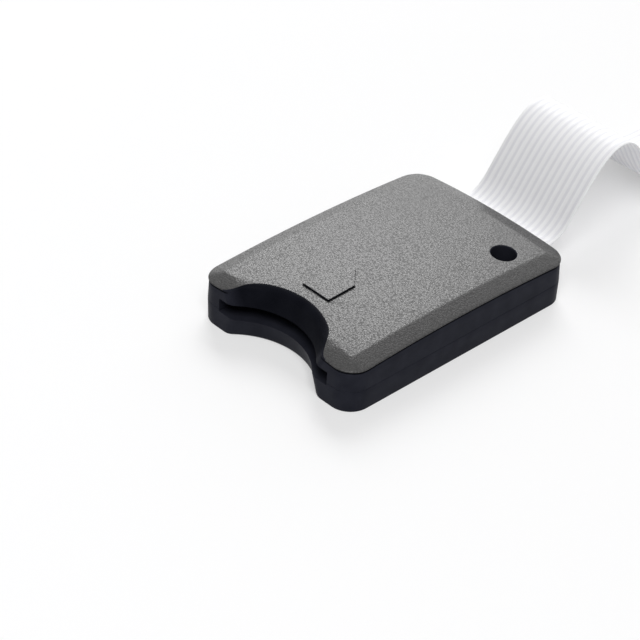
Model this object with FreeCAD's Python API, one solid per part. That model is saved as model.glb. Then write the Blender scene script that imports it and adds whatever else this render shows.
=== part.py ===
import FreeCAD, Part
import math
import os
from FreeCAD import Vector

# Card reader housing on a flat ribbon that ends in a card-shaped plug. Millimetres, +Z up.
# X runs across the card slot, -Y is the slot side, and the ribbon leaves at +Y.
# The origin is the bottom centre of the housing.

# Card that the socket takes
card_width = 24.0
card_length = 32.0
card_thickness = 2.1
card_side_play = 0.15
card_top_play = 0.1

# Card socket: moulded base under a folded steel shield
socket_depth = 27.7
socket_floor = 0.55
socket_rail = 1.2
socket_rear_wall = 1.0
socket_front_gap = 0.3
shield_sheet = 0.2
shield_play = 0.02
shield_tongue_width = 2.2
shield_tongue_length = 9.0
shield_tongue_gap = 0.5
shield_tongue_x = 8.0
shield_tongue_rear = 3.0
shield_foot = 1.2
shield_foot_length = 2.0
shield_foot_inset = 1.5

# Housing: walls, and the room that it keeps round the socket
side_room = 3.33
front_set_back = 8.0
rear_room = 14.8
corner_radius = 4.1
joint_height = 4.1
cover_wall = 1.7
floor_thickness = 1.5
roof_thickness = 1.5
base_draft = 0.08
base_edge_chamfer = 0.15
joint_line_chamfer = 0.12

# Crowned top with its wide sloping edge and the shadow line under it
crown_height = 10.6
crown_drop_across = 1.0
crown_drop_along = 0.93
slope_width = 3.05
slope_drop = 0.98
lid_inset = 0.05
wall_top_draft = 0.33
shadow_line_height = 0.3
shadow_line_depth = 0.45

# Finger notch in the slot side, narrowest at the joint so that each cover leaves its mould
notch_ahead = 8.7
notch_radius = 12.95
notch_open_below = 0.95
notch_open_above = 2.2
notch_edge_round = 1.0

# Slot through the front wall
slot_side_play = 1.2
slot_height = 2.54

# Arrow that shows the way in, and the light hole
arrow_width = 6.3
arrow_side = 6.0
arrow_set_back = 9.5
arrow_relief = 0.3
light_hole_radius = 2.22
light_hole_round = 0.25
light_from_side = 7.0
light_from_rear = 9.7

# Circuit board on its ledges
board_thickness = 1.0
board_clearance = 0.45
board_corner = 1.5
board_front_gap = 0.4
board_rear_gap = 2.9
ledge_height = 0.8
ledge_width = 2.1
ledge_length = 6.0
ledge_inset = 1.0

# Pins that join the two covers
pin_radius = 0.9
pin_play = 0.1
pin_rise = 2.0
rear_pin_from_side = 4.9
rear_pin_from_rear = 13.7
front_pin_from_side = 2.8
front_pin_from_front = 3.7
boss_radius = 2.0
boss_gap = 0.1

# Inner lip of the bottom cover, which centres the top cover
lip_height = 1.0
lip_width = 0.7
lip_play = 0.1
lip_end_gap = 1.0

# Ribs of the top cover that hold the socket down
hold_down_gap = 0.1
hold_down_width = 1.2
hold_down_rear = 2.0

# Contact springs of the socket
contact_count = 9
contact_edge = 2.0
contact_width = 1.0
contact_sheet = 0.2
contact_lift = 0.5
contact_reach = 7.0
contact_peak = 1.2
contact_tip_rise = 0.15
contact_tail = 1.0
contact_groove_play = 0.15
last_contact_set_back = 1.1
switch_width = 0.8
switch_length = 8.0
switch_set_back = 16.1
switch_bulge = 0.4
switch_window = 5.2
switch_recess = 0.95
switch_end_play = 0.2

# Small parts soldered on the board
light_size = (1.25, 2.0, 0.8)
resistor_size = (0.8, 1.6, 0.45)
capacitor_size = (1.25, 2.0, 0.9)
small_part_from_side = 5.6
small_part_from_rear = 9.5
small_part_pitch = 2.6
small_part_row = 1.8
end_cap_length = 0.35
end_cap_step = 0.03

# Flat ribbon
ribbon_width = 20.5
ribbon_thickness = 0.3
conductor_count = 15
conductor_pitch = 1.35
conductor_width = 0.7
conductor_thickness = 0.1
tail_length = 1.6
stiffener_length = 2.6
stiffener_thickness = 0.2
ribbon_slot_height = 0.6
ribbon_slot_play = 0.4

# Route of the ribbon's middle line in the YZ plane, from the board to the plug
ribbon_points = [
    (12.5, 3.45),
    (17.5, 3.45),
    (22.8, 4.38),
    (28.4, 4.42),
    (33.4, 5.1),
    (37.6, 10.6),
    (42.2, 16.3),
    (46.2, 18.6),
    (50.1, 18.3),
    (53.6, 14.7),
    (56.4, 9.6),
    (60.2, 4.6),
    (66.0, 1.4),
    (75.5, 0.2),
    (92.5, 0.2),
    (113.0, 2.2),
    (131.0, 1.0),
    (143.0, 1.0),
]

# Card-shaped plug on the ribbon's far end
plug_board_thickness = 0.8
ribbon_in_plug = 6.0
plug_corner = 1.0
plug_cut_corner = 4.0
plug_edge_chamfer = 0.15
plug_tail_room = 0.5
plug_grip_count = 5
plug_grip_pitch = 1.6
plug_grip_depth = 0.25
plug_grip_width = 0.8
plug_grip_front = 5.2
plug_grip_margin = 3.0
pad_width = 1.7
pad_length = 4.0
pad_depth = 0.05
pad_edge = 0.8

# Widths and lengths that follow from the sizes above
card_half = card_width / 2 + card_side_play
contact_pitch = (card_width - 2 * contact_edge) / (contact_count - 1)
shield_half = card_half + socket_rail + shield_play + shield_sheet
housing_width = 2 * (shield_half + side_room + cover_wall)
housing_length = front_set_back + socket_depth + rear_room + cover_wall
side_x = housing_width / 2
front_y = -housing_length / 2
rear_y = housing_length / 2
slot_half = card_width / 2 + slot_side_play
socket_front_y = front_y + front_set_back
socket_rear_y = socket_front_y + socket_depth
pocket_front_y = socket_front_y - socket_front_gap
notch_centre_y = front_y - notch_ahead
arrow_front_y = front_y + arrow_set_back
light_hole_x = side_x - light_from_side
light_hole_y = rear_y - light_from_rear
board_front_y = pocket_front_y + board_front_gap
board_rear_y = rear_y - cover_wall - board_rear_gap
switch_front_y = socket_front_y + switch_set_back
small_part_x = small_part_from_side - side_x
small_part_y = rear_y - small_part_from_rear
plug_rear_y = ribbon_points[-1][0] - ribbon_in_plug

# Heights that follow from the sizes above
board_bottom = floor_thickness + ledge_height
board_top = board_bottom + board_thickness
card_bottom = board_top + socket_floor
card_top = card_bottom + card_thickness
shield_under = card_top + card_top_play
shield_top = shield_under + shield_sheet
slot_middle = (card_bottom + card_top) / 2
slot_low = slot_middle - slot_height / 2
slot_high = slot_middle + slot_height / 2
crown_drop = crown_drop_across + crown_drop_along

# Working allowances: how far a cutting shape runs past what it cuts, how far a fused rib
# starts inside the wall that carries it, and how closely an edge is matched by its place
beyond = 1.0
well_above = 30.0
root = 0.2
hair = 0.01
crown_reach = 0.75


def arc_radius(half_chord, drop):
    return (half_chord**2 + drop**2) / (2 * drop)


def edges_above(shape, height):
    """The edges that lie wholly at or above a height."""
    return [e for e in shape.Edges if e.BoundBox.ZMin > height - hair]


def rounded_wire(width, length, radius, z):
    half_x = width / 2
    half_y = length / 2
    corners = [
        (half_x - radius, radius - half_y, -90),
        (half_x - radius, half_y - radius, 0),
        (radius - half_x, half_y - radius, 90),
        (radius - half_x, radius - half_y, 180),
    ]
    edges = []
    last = None
    for x, y, start in corners:
        circle = Part.Circle(Vector(x, y, z), Vector(0, 0, 1), radius)
        arc = Part.Arc(circle, math.radians(start), math.radians(start + 90))
        if last:
            edges.append(Part.makeLine(last, arc.StartPoint))
        edges.append(arc.toShape())
        last = arc.EndPoint
    edges.append(Part.makeLine(last, edges[0].Vertexes[0].Point))
    return Part.Wire(edges)


def rounded_block(width, length, radius, low, high):
    face = Part.Face(rounded_wire(width, length, radius, low))
    return face.extrude(Vector(0, 0, high - low))


def inset_block(inset, low, high):
    return rounded_block(
        housing_width - 2 * inset, housing_length - 2 * inset, corner_radius - inset, low, high
    )


def box(x0, x1, y0, y1, z0, z1):
    return Part.makeBox(x1 - x0, y1 - y0, z1 - z0, Vector(x0, y0, z0))


def post(x, y, radius, low, high):
    return Part.makeCylinder(radius, high - low, Vector(x, y, low))


def across(points, width, x=0.0):
    """A flat outline in the YZ plane, drawn out to a width about x."""
    corners = [Vector(x - width / 2, y, z) for y, z in points]
    wire = Part.makePolygon(corners + corners[:1])
    return Part.Face(wire).extrude(Vector(width, 0, 0))


def strip(points, sheet, width, x):
    """A bent strip of sheet metal whose lower face follows the points."""
    sides = []
    for (y0, z0), (y1, z1) in zip(points, points[1:]):
        run = math.hypot(y1 - y0, z1 - z0)
        sides.append((-(z1 - z0) / run, (y1 - y0) / run))
    offset = []
    for index, (y, z) in enumerate(points):
        before = sides[max(index - 1, 0)]
        after = sides[min(index, len(sides) - 1)]
        reach = sheet / (1 + before[0] * after[0] + before[1] * after[1])
        offset.append((y + reach * (before[0] + after[0]), z + reach * (before[1] + after[1])))
    return across(points + offset[::-1], width, x)


def under_crown(peak):
    """Everything below a crowned surface whose highest point is at peak."""
    across_radius = arc_radius(side_x, crown_drop_across)
    along_radius = arc_radius(rear_y, crown_drop_along)
    reach = crown_reach * housing_width
    side = peak - across_radius + math.sqrt(across_radius**2 - reach**2)
    low = -2 * beyond
    crest = Part.Arc(Vector(-reach, 0, side), Vector(0, 0, peak), Vector(reach, 0, side))
    below = [
        Vector(reach, 0, side),
        Vector(reach, 0, low),
        Vector(-reach, 0, low),
        Vector(-reach, 0, side),
    ]
    edges = [crest.toShape()]
    for start, end in zip(below, below[1:]):
        edges.append(Part.makeLine(start, end))
    profile = Part.Face(Part.Wire(edges))
    centre = Vector(0, 0, peak - along_radius)
    swing = math.degrees(math.asin(crown_reach * housing_length / along_radius))
    profile.rotate(centre, Vector(1, 0, 0), swing)
    return profile.revolve(centre, Vector(1, 0, 0), -2 * swing)


def tapered_wall(low, low_inset, high, high_inset):
    wires = []
    for z, inset in ((low, low_inset), (high, high_inset)):
        wires.append(
            rounded_wire(
                housing_width - 2 * inset, housing_length - 2 * inset, corner_radius - inset, z
            )
        )
    return Part.makeLoft(wires, True, True)


def notch_radius_at(z):
    """The notch opens from the joint towards the base and towards the top."""
    if z < joint_height:
        return notch_radius + notch_open_below * (joint_height - z) / joint_height
    return notch_radius + notch_open_above * (z - joint_height) / (crown_height - joint_height)


def notch_cut():
    cones = []
    for low, high in ((-beyond, joint_height), (joint_height, crown_height + beyond)):
        foot = Vector(0, notch_centre_y, low)
        cones.append(Part.makeCone(notch_radius_at(low), notch_radius_at(high), high - low, foot))
    return cones[0].fuse(cones[1])


def slot_cut():
    rear = pocket_front_y + beyond
    return box(-slot_half, slot_half, front_y - beyond, rear, slot_low, slot_high)


def front_block(rear):
    return box(-housing_width, housing_width, front_y - beyond, rear, 0, well_above)


def inner_space(low, peak):
    """The room inside both covers, closed by the notch wall at the front."""
    room = inset_block(cover_wall, low, well_above)
    room = room.common(under_crown(peak))
    return room.cut(front_block(pocket_front_y))


def lip_ring(width, height):
    outer = inset_block(cover_wall - width, joint_height, joint_height + height)
    inner = inset_block(cover_wall, joint_height - beyond, joint_height + height + beyond)
    ring = outer.cut(inner)
    half = ribbon_width / 2 + ribbon_slot_play + lip_end_gap
    rear = box(-half, half, rear_y - 3 * cover_wall, rear_y + beyond, 0, well_above)
    return ring.cut(front_block(pocket_front_y + lip_end_gap)).cut(rear)


def pins():
    """Each pin's place, the top of what it stands on, and its own top."""
    places = []
    for side in (-1, 1):
        x = side * (side_x - rear_pin_from_side)
        y = rear_y - rear_pin_from_rear
        places.append((x, y, board_bottom, board_top + pin_rise))
        x = side * (side_x - front_pin_from_side)
        y = front_y + front_pin_from_front
        places.append((x, y, floor_thickness, joint_height + pin_rise))
    return places


def bottom_cover():
    body = tapered_wall(0, base_draft, joint_height, 0)
    body = body.makeChamfer(base_edge_chamfer, [e for e in body.Edges if e.BoundBox.ZMax < hair])
    body = body.makeChamfer(joint_line_chamfer, edges_above(body, joint_height))
    body = body.cut(inner_space(floor_thickness, well_above))
    body = body.fuse(lip_ring(lip_width, lip_height))
    body = body.cut(notch_cut()).cut(slot_cut())
    low = floor_thickness - root
    wall = side_x - cover_wall
    for side in (-1, 1):
        for y in (board_front_y + ledge_inset, board_rear_y - ledge_inset - ledge_length):
            x0, x1 = sorted((side * (wall + root), side * (wall - ledge_width)))
            body = body.fuse(box(x0, x1, y, y + ledge_length, low, board_bottom))
    for x, y, seat, top in pins():
        if seat > floor_thickness:
            body = body.fuse(post(x, y, boss_radius, low, seat))
        pin = post(x, y, pin_radius, low, top)
        body = body.fuse(pin.makeChamfer(pin_radius / 4, edges_above(pin, top)))
    return body.removeSplitter()


def top_shell_outside():
    lid_low = crown_height - slope_drop
    lid = inset_block(lid_inset, joint_height, well_above)
    lid = lid.common(under_crown(crown_height)).Solids[0]
    loop = edges_above(lid, (joint_height + crown_height) / 2)
    lid = lid.makeChamfer(slope_drop, slope_width, loop)
    lid = lid.cut(under_crown(lid_low))
    neck = inset_block(shadow_line_depth, joint_height, well_above)
    neck = neck.common(under_crown(lid_low + root))
    wall = tapered_wall(joint_height, 0, crown_height, wall_top_draft)
    wall = wall.common(under_crown(lid_low - shadow_line_height))
    return wall.fuse(neck).fuse(lid).removeSplitter()


def arrow_boss():
    half = arrow_width / 2
    outline = [
        Vector(-half, arrow_front_y, joint_height),
        Vector(half, arrow_front_y, joint_height),
        Vector(half, arrow_front_y + arrow_side, joint_height),
        Vector(0, arrow_front_y + arrow_side + half, joint_height),
        Vector(-half, arrow_front_y + arrow_side, joint_height),
    ]
    prism = Part.Face(Part.makePolygon(outline + outline[:1])).extrude(Vector(0, 0, well_above))
    raised = prism.common(under_crown(crown_height + arrow_relief))
    return raised.cut(under_crown(crown_height - roof_thickness / 2))


def rounded_notch(body):
    """Round the notch's upper edge, where the top and its sloping border meet it."""
    edges = []
    for edge in edges_above(body, crown_height - slope_drop - crown_drop):
        reach = from_axis(edge, 0, notch_centre_y)
        wall = notch_radius_at(edge.BoundBox.Center.z)
        if abs(reach - wall) < root and edge.Length > slope_drop:
            edges.append(edge)
    return body.makeFillet(notch_edge_round, edges)


def from_axis(edge, x, y):
    """How far the middle of an edge lies from an upright axis."""
    middle = edge.valueAt((edge.FirstParameter + edge.LastParameter) / 2)
    return math.hypot(middle.x - x, middle.y - y)


def light_hole():
    """The hole over the light and its broken rim, both square to the crowned top."""
    across_radius = arc_radius(side_x, crown_drop_across)
    along_radius = arc_radius(rear_y, crown_drop_along)
    x, y = light_hole_x, light_hole_y
    fall_x = across_radius - math.sqrt(across_radius**2 - x**2)
    fall_y = along_radius - math.sqrt(along_radius**2 - y**2)
    out = Vector(x / across_radius, y / along_radius, 1).normalize()
    top = Vector(x, y, crown_height - fall_x - fall_y)
    depth = roof_thickness + 2 * beyond
    hole = Part.makeCylinder(light_hole_radius, depth, top - out * (depth - beyond), out)
    flare = light_hole_round + beyond
    start = top - out * light_hole_round
    rim = Part.makeCone(light_hole_radius, light_hole_radius + flare, flare, start, out)
    return hole.fuse(rim)


def both_halves(body):
    """A body that is the same on both sides, made from its -X half."""
    half = body.common(box(-housing_width, 0, -housing_length, housing_length, 0, well_above))
    other = half.mirror(Vector(0, 0, 0), Vector(1, 0, 0))
    return half.fuse(other).removeSplitter()


def top_cover():
    body = top_shell_outside()
    body = body.cut(notch_cut())
    body = both_halves(rounded_notch(body.Solids[0]))
    body = body.cut(inner_space(joint_height - root, crown_height - roof_thickness))
    body = body.fuse(arrow_boss())
    body = body.cut(lip_ring(lip_width + lip_play, lip_height + lip_play)).cut(slot_cut())
    half = ribbon_width / 2 + ribbon_slot_play
    mouth = box(-half, half, rear_y - 2 * cover_wall, rear_y + beyond,
                joint_height - beyond, joint_height + ribbon_slot_height)
    body = body.cut(mouth)
    inside = under_crown(crown_height - roof_thickness + root)
    for x, y, seat, top in pins():
        if seat > floor_thickness:
            boss = post(x, y, boss_radius, board_top + boss_gap, well_above)
            body = body.fuse(boss.common(inside))
        body = body.cut(post(x, y, pin_radius + pin_play, 0, top + 2 * pin_play))
    for x in (-card_width / 4, card_width / 4):
        rib = box(x - hold_down_width / 2, x + hold_down_width / 2,
                  pocket_front_y - root, socket_rear_y - hold_down_rear,
                  shield_top + hold_down_gap, well_above)
        body = body.fuse(rib.common(inside))
    return body.cut(light_hole()).removeSplitter()


def circuit_board():
    half = side_x - cover_wall - board_clearance
    length = board_rear_y - board_front_y
    board = rounded_block(2 * half, length, board_corner, board_bottom, board_top)
    board.translate(Vector(0, (board_rear_y + board_front_y) / 2, 0))
    for x, y, seat, top in pins():
        if seat > floor_thickness:
            board = board.cut(post(x, y, pin_radius + pin_play, 0, well_above))
    return board


def contact_places():
    """X of each contact and how far its tip sits behind the first one's."""
    places = []
    for index in range(contact_count):
        x = (index - (contact_count - 1) / 2) * contact_pitch
        set_back = last_contact_set_back if index == contact_count - 1 else 0.0
        places.append((x, set_back))
    return places


def switch_strip(side):
    """A card switch: a leaf held in the side rail, with a bulge that the card pushes out."""
    seat = card_half + socket_rail / 2
    line = [
        (seat, switch_front_y),
        (card_half - switch_bulge, switch_front_y + 0.4 * switch_window),
        (card_half - switch_bulge, switch_front_y + 0.5 * switch_window),
        (seat, switch_front_y + 0.9 * switch_window),
        (seat, switch_front_y + switch_length),
    ]
    line += [(x + contact_sheet, y) for x, y in line[::-1]]
    corners = [Vector(side * x, y, card_bottom) for x, y in line]
    leaf = Part.Face(Part.makePolygon(corners + corners[:1]))
    return leaf.extrude(Vector(0, 0, switch_width))


def socket_base():
    outer = card_half + socket_rail
    inner_rear = socket_rear_y - socket_rear_wall
    body = box(-outer, outer, socket_front_y, socket_rear_y, board_top, shield_under - shield_play)
    tray = box(-card_half, card_half, socket_front_y - beyond, inner_rear, card_bottom, well_above)
    body = body.cut(tray)
    for x, set_back in contact_places():
        half = contact_width / 2 + contact_groove_play
        length = contact_reach + contact_groove_play + set_back
        groove = box(x - half, x + half, inner_rear - length, inner_rear,
                     board_top - beyond, card_bottom + beyond)
        exit_hole = box(x - contact_width / 2, x + contact_width / 2, inner_rear - beyond,
                        socket_rear_y + beyond, board_top - beyond, board_top + contact_sheet)
        body = body.cut(groove).cut(exit_hole)
    for side in (-1, 1):
        seat = card_half + socket_rail / 2
        x0, x1 = sorted((side * seat, side * (seat + contact_sheet)))
        body = body.cut(box(x0, x1, switch_front_y, switch_front_y + switch_length,
                            card_bottom, well_above))
        x0, x1 = sorted((side * card_half, side * (card_half + switch_recess)))
        body = body.cut(box(x0, x1, switch_front_y - switch_end_play,
                            switch_front_y + switch_window, card_bottom, well_above))
    lead_in = []
    for side in (-1, 1):
        edge = side * card_half
        corner = [
            Vector(edge, socket_front_y, card_bottom),
            Vector(edge + side * socket_rail / 2, socket_front_y, card_bottom),
            Vector(edge, socket_front_y + socket_rail, card_bottom),
        ]
        wedge = Part.Face(Part.makePolygon(corner + corner[:1]))
        lead_in.append(wedge.extrude(Vector(0, 0, well_above)))
    return body.cut(lead_in[0]).cut(lead_in[1])


def socket_contact(x, set_back):
    tip = socket_rear_y - socket_rear_wall - contact_reach - set_back
    high = card_bottom + contact_lift - contact_sheet
    points = [
        (tip, board_top + contact_tip_rise),
        (tip + contact_peak, high),
        (tip + 2 * contact_peak, high),
        (socket_rear_y - socket_rear_wall - contact_groove_play, board_top),
        (socket_rear_y + contact_tail, board_top),
    ]
    return strip(points, contact_sheet, contact_width, x)


def socket_shield():
    outer = shield_half - shield_sheet
    skin = box(-shield_half, shield_half, socket_front_y, socket_rear_y, board_top, shield_top)
    hollow = box(-outer, outer, socket_front_y - beyond, socket_rear_y + beyond,
                 board_top - beyond, shield_under)
    skin = skin.cut(hollow)
    rear_foot_y = socket_rear_y - shield_foot_inset - shield_foot_length
    for side in (-1, 1):
        x = side * shield_tongue_x
        half = shield_tongue_width / 2
        rear = socket_rear_y - shield_tongue_rear
        front = rear - shield_tongue_length
        outside = box(x - half - shield_tongue_gap, x + half + shield_tongue_gap,
                      front, rear, shield_under, shield_top)
        tongue = box(x - half, x + half, front + shield_tongue_gap, rear, shield_under, shield_top)
        skin = skin.cut(outside.cut(tongue))
        for y in (socket_front_y + shield_foot_inset, rear_foot_y):
            x0, x1 = sorted((side * outer, side * (shield_half + shield_foot)))
            foot = box(x0, x1, y, y + shield_foot_length, board_top, board_top + shield_sheet)
            skin = skin.fuse(foot)
    return skin.removeSplitter()


def chip(x, y, size):
    """A small surface-mounted part with a metal cap at each end, long way along Y."""
    width, length, height = size
    body = box(x - width / 2, x + width / 2, y - length / 2, y + length / 2,
               board_top, board_top + height)
    for side in (-1, 1):
        edge = y + side * length / 2
        y0, y1 = sorted((edge, edge - side * end_cap_length))
        step = box(x - width, x + width, y0, y1, board_top + height - end_cap_step, well_above)
        body = body.cut(step)
    return body


def light_chip():
    width, length, height = light_size
    body = box(light_hole_x - width / 2, light_hole_x + width / 2,
               light_hole_y - length / 2, light_hole_y + length / 2,
               board_top, board_top + height / 2)
    dome = Part.makeCylinder(width / 2, height / 2,
                             Vector(light_hole_x, light_hole_y, board_top + height / 2))
    dome = dome.makeChamfer(height / 4, edges_above(dome, board_top + height))
    return body.fuse(dome).removeSplitter()


def ribbon_corners(points):
    """Each bend of the route: where it starts, its middle and end, and its radius."""
    bends = []
    for before, corner, after in zip(points, points[1:], points[2:]):
        into = (corner[0] - before[0], corner[1] - before[1])
        out = (after[0] - corner[0], after[1] - corner[1])
        run_in = math.hypot(*into)
        run_out = math.hypot(*out)
        turn = math.atan2(into[0] * out[1] - into[1] * out[0], into[0] * out[0] + into[1] * out[1])
        tangent = 0.45 * min(run_in, run_out)
        radius = tangent / math.tan(abs(turn) / 2)
        start = (corner[0] - into[0] / run_in * tangent, corner[1] - into[1] / run_in * tangent)
        end = (corner[0] + out[0] / run_out * tangent, corner[1] + out[1] / run_out * tangent)
        normal = (-into[1] / run_in * math.copysign(1, turn), into[0] / run_in * math.copysign(1, turn))
        centre = (start[0] + normal[0] * radius, start[1] + normal[1] * radius)
        bends.append((start, end, centre, radius, turn))
    return bends


def ribbon_edges(points, offset, x):
    """One face of the ribbon seen from the side, offset from its middle line."""
    edges = []
    place = None
    for start, end, centre, radius, turn in ribbon_corners(points):
        scale = (radius - offset * math.copysign(1, turn)) / radius
        shifted = []
        for y, z in (start, end):
            shifted.append(Vector(x, centre[0] + (y - centre[0]) * scale,
                                  centre[1] + (z - centre[1]) * scale))
        bulge_y = (start[0] + end[0]) / 2 - centre[0]
        bulge_z = (start[1] + end[1]) / 2 - centre[1]
        stretch = radius * scale / math.hypot(bulge_y, bulge_z)
        middle = Vector(x, centre[0] + bulge_y * stretch, centre[1] + bulge_z * stretch)
        if place is None:
            place = Vector(x, points[0][0], points[0][1] + offset)
        edges.append(Part.makeLine(place, shifted[0]))
        edges.append(Part.Arc(shifted[0], middle, shifted[1]).toShape())
        place = shifted[1]
    edges.append(Part.makeLine(place, Vector(x, points[-1][0], points[-1][1] + offset)))
    return edges


def ribbon_length(points):
    length = 0.0
    place = points[0]
    for start, end, centre, radius, turn in ribbon_corners(points):
        length += math.hypot(start[0] - place[0], start[1] - place[1]) + radius * abs(turn)
        place = end
    return length + math.hypot(points[-1][0] - place[0], points[-1][1] - place[1])


def ribbon_cable():
    x = -ribbon_width / 2
    upper = ribbon_edges(ribbon_points, ribbon_thickness / 2, x)
    lower = ribbon_edges(ribbon_points, -ribbon_thickness / 2, x)
    ends = []
    for low, high in ((lower[0].Vertexes[0], upper[0].Vertexes[0]),
                      (lower[-1].Vertexes[-1], upper[-1].Vertexes[-1])):
        ends.append(Part.makeLine(low.Point, high.Point))
    wire = Part.Wire(Part.__sortEdges__(upper + lower + ends))
    return Part.Face(wire).extrude(Vector(ribbon_width, 0, 0))


def conductor_tails(edge_y, way, z):
    """Bare copper ends of the ribbon's conductors, soldered flat on a board."""
    tails = []
    for index in range(conductor_count):
        x = (index - (conductor_count - 1) / 2) * conductor_pitch
        y0, y1 = sorted((edge_y, edge_y + way * tail_length))
        tails.append(box(x - conductor_width / 2, x + conductor_width / 2, y0, y1,
                         z, z + conductor_thickness))
    return Part.makeCompound(tails)


def stiffener(start_y, z):
    return box(-ribbon_width / 2, ribbon_width / 2, start_y, start_y + stiffener_length,
               z, z + stiffener_thickness)


def card_outline(inset, z):
    half = card_width / 2 - inset
    rear = plug_rear_y + inset
    front = plug_rear_y + card_length - inset
    cut = plug_cut_corner - inset * (2 - math.sqrt(2))
    corners = [
        Vector(-half, rear, z),
        Vector(half, rear, z),
        Vector(half, front - cut, z),
        Vector(half - cut, front, z),
        Vector(-half, front, z),
    ]
    return Part.makePolygon(corners + corners[:1])


def round_uprights(body, radius, sharp_y):
    edges = []
    for edge in body.Edges:
        bounds = edge.BoundBox
        upright = max(bounds.XLength, bounds.YLength) < hair
        if upright and (bounds.YMin < sharp_y or bounds.XMin < 0):
            edges.append(edge)
    return body.makeFillet(radius, edges)


def plug_pad_boxes():
    front = plug_rear_y + card_length - pad_edge
    pads = []
    for x, set_back in contact_places():
        pads.append(box(x - pad_width / 2, x + pad_width / 2, front - pad_length - set_back,
                        front - set_back, 0, pad_depth))
    return pads


def plug_board():
    board = Part.Face(card_outline(0, 0)).extrude(Vector(0, 0, plug_board_thickness))
    board = round_uprights(board, plug_corner, plug_rear_y + card_length / 2)
    for pad in plug_pad_boxes():
        board = board.cut(pad)
    return board


def plug_cover():
    low = plug_board_thickness
    body = Part.Face(card_outline(0, low)).extrude(Vector(0, 0, card_thickness - low))
    body = round_uprights(body, plug_corner, plug_rear_y + card_length / 2)
    body = body.makeChamfer(plug_edge_chamfer, edges_above(body, card_thickness))
    half = ribbon_width / 2 + ribbon_slot_play
    room = box(-half, half, plug_rear_y - beyond, ribbon_points[-1][0] + tail_length + plug_tail_room,
               low - beyond, low + ribbon_slot_height)
    body = body.cut(room)
    half = card_width / 2 - plug_grip_margin
    for index in range(plug_grip_count):
        y = plug_rear_y + card_length - plug_grip_front - index * plug_grip_pitch
        groove = box(-half, half, y - plug_grip_width, y,
                     card_thickness - plug_grip_depth, well_above)
        body = body.cut(groove)
    return body


def check_ribbon(shape):
    expected = ribbon_length(ribbon_points) * ribbon_width * ribbon_thickness
    radii = [bend[3] for bend in ribbon_corners(ribbon_points)]
    print("ribbon length", round(ribbon_length(ribbon_points), 2))
    print("ribbon radii", [round(radius, 1) for radius in radii])
    print("ribbon volume over expected", round(shape.Volume / expected, 5))


def build():
    parts = {
        "top_cover": top_cover(),
        "bottom_cover": bottom_cover(),
        "circuit_board": circuit_board(),
        "socket_base": socket_base(),
        "socket_shield": socket_shield(),
        "card_detect_switch": switch_strip(-1),
        "write_protect_switch": switch_strip(1),
        "status_light": light_chip(),
        "light_resistor": chip(small_part_x, small_part_y, resistor_size),
        "pull_up_resistor": chip(small_part_x, small_part_y + small_part_pitch, resistor_size),
        "supply_capacitor": chip(small_part_x + small_part_row,
                                 small_part_y + small_part_pitch / 2, capacitor_size),
        "ribbon_cable": ribbon_cable(),
        "ribbon_tails_board": conductor_tails(ribbon_points[0][0], -1, board_top),
        "ribbon_tails_plug": conductor_tails(ribbon_points[-1][0], 1, plug_board_thickness),
        "ribbon_stiffener": stiffener(ribbon_points[0][0],
                                      ribbon_points[0][1] + ribbon_thickness / 2),
        "plug_board": plug_board(),
        "plug_cover": plug_cover(),
        "plug_pads": Part.makeCompound(plug_pad_boxes()),
    }
    for index, (x, set_back) in enumerate(contact_places()):
        parts[f"socket_contact_{index + 1}"] = socket_contact(x, set_back)
    return parts


os.makedirs("parts", exist_ok=True)
for name, shape in build().items():
    if name == "ribbon_cable":
        check_ribbon(shape)
    print(name, shape.isValid(), len(shape.Solids), round(shape.Volume, 2))
    shape.exportStep(f"parts/{name}.step")
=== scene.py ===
import bmesh
import bpy
import math
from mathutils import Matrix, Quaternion, Vector
from mathutils.geometry import delaunay_2d_cdt


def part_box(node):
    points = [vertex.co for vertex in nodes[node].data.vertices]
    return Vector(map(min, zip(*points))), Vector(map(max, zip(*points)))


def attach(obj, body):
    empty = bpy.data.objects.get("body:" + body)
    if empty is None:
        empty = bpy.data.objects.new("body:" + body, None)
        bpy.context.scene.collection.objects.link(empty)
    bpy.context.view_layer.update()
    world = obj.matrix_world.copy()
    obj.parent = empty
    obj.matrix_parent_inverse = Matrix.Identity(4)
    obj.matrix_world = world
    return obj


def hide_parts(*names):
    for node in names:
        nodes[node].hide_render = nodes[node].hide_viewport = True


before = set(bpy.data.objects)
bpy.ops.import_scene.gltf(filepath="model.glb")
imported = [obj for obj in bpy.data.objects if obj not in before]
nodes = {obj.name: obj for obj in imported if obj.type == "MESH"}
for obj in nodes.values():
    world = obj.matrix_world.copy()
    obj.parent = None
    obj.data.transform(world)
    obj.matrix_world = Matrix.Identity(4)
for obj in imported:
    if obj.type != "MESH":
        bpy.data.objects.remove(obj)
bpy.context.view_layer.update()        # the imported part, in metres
mm = 0.001               # every size below is in mm
print("frame loaded:", len(nodes), "solids")


def boxOf(node):
    low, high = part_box(node)
    return low / mm, high / mm


def lerp(start, end, share):
    return start + (end - start) * share


def smoothStep(value):
    value = min(max(value, 0.0), 1.0)
    return value * value * (3 - 2 * value)


def showObject(name, data):
    piece = bpy.data.objects.new(name, data)
    bpy.context.scene.collection.objects.link(piece)
    return piece


def meshObject(name, points, faces, materials=(), faceMaterials=()):
    mesh = bpy.data.meshes.new(name)
    mesh.from_pydata([(x * mm, y * mm, z * mm) for x, y, z in points], [], faces)
    for material in materials:
        mesh.materials.append(material)
    for face, index in zip(mesh.polygons, faceMaterials):
        face.material_index = index
    mesh.update()
    return showObject(name, mesh)


def bridgeRings(faces, lower, upper, count):
    for index in range(count):
        after = (index + 1) % count
        faces.append((lower + index, lower + after, upper + after, upper + index))


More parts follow.
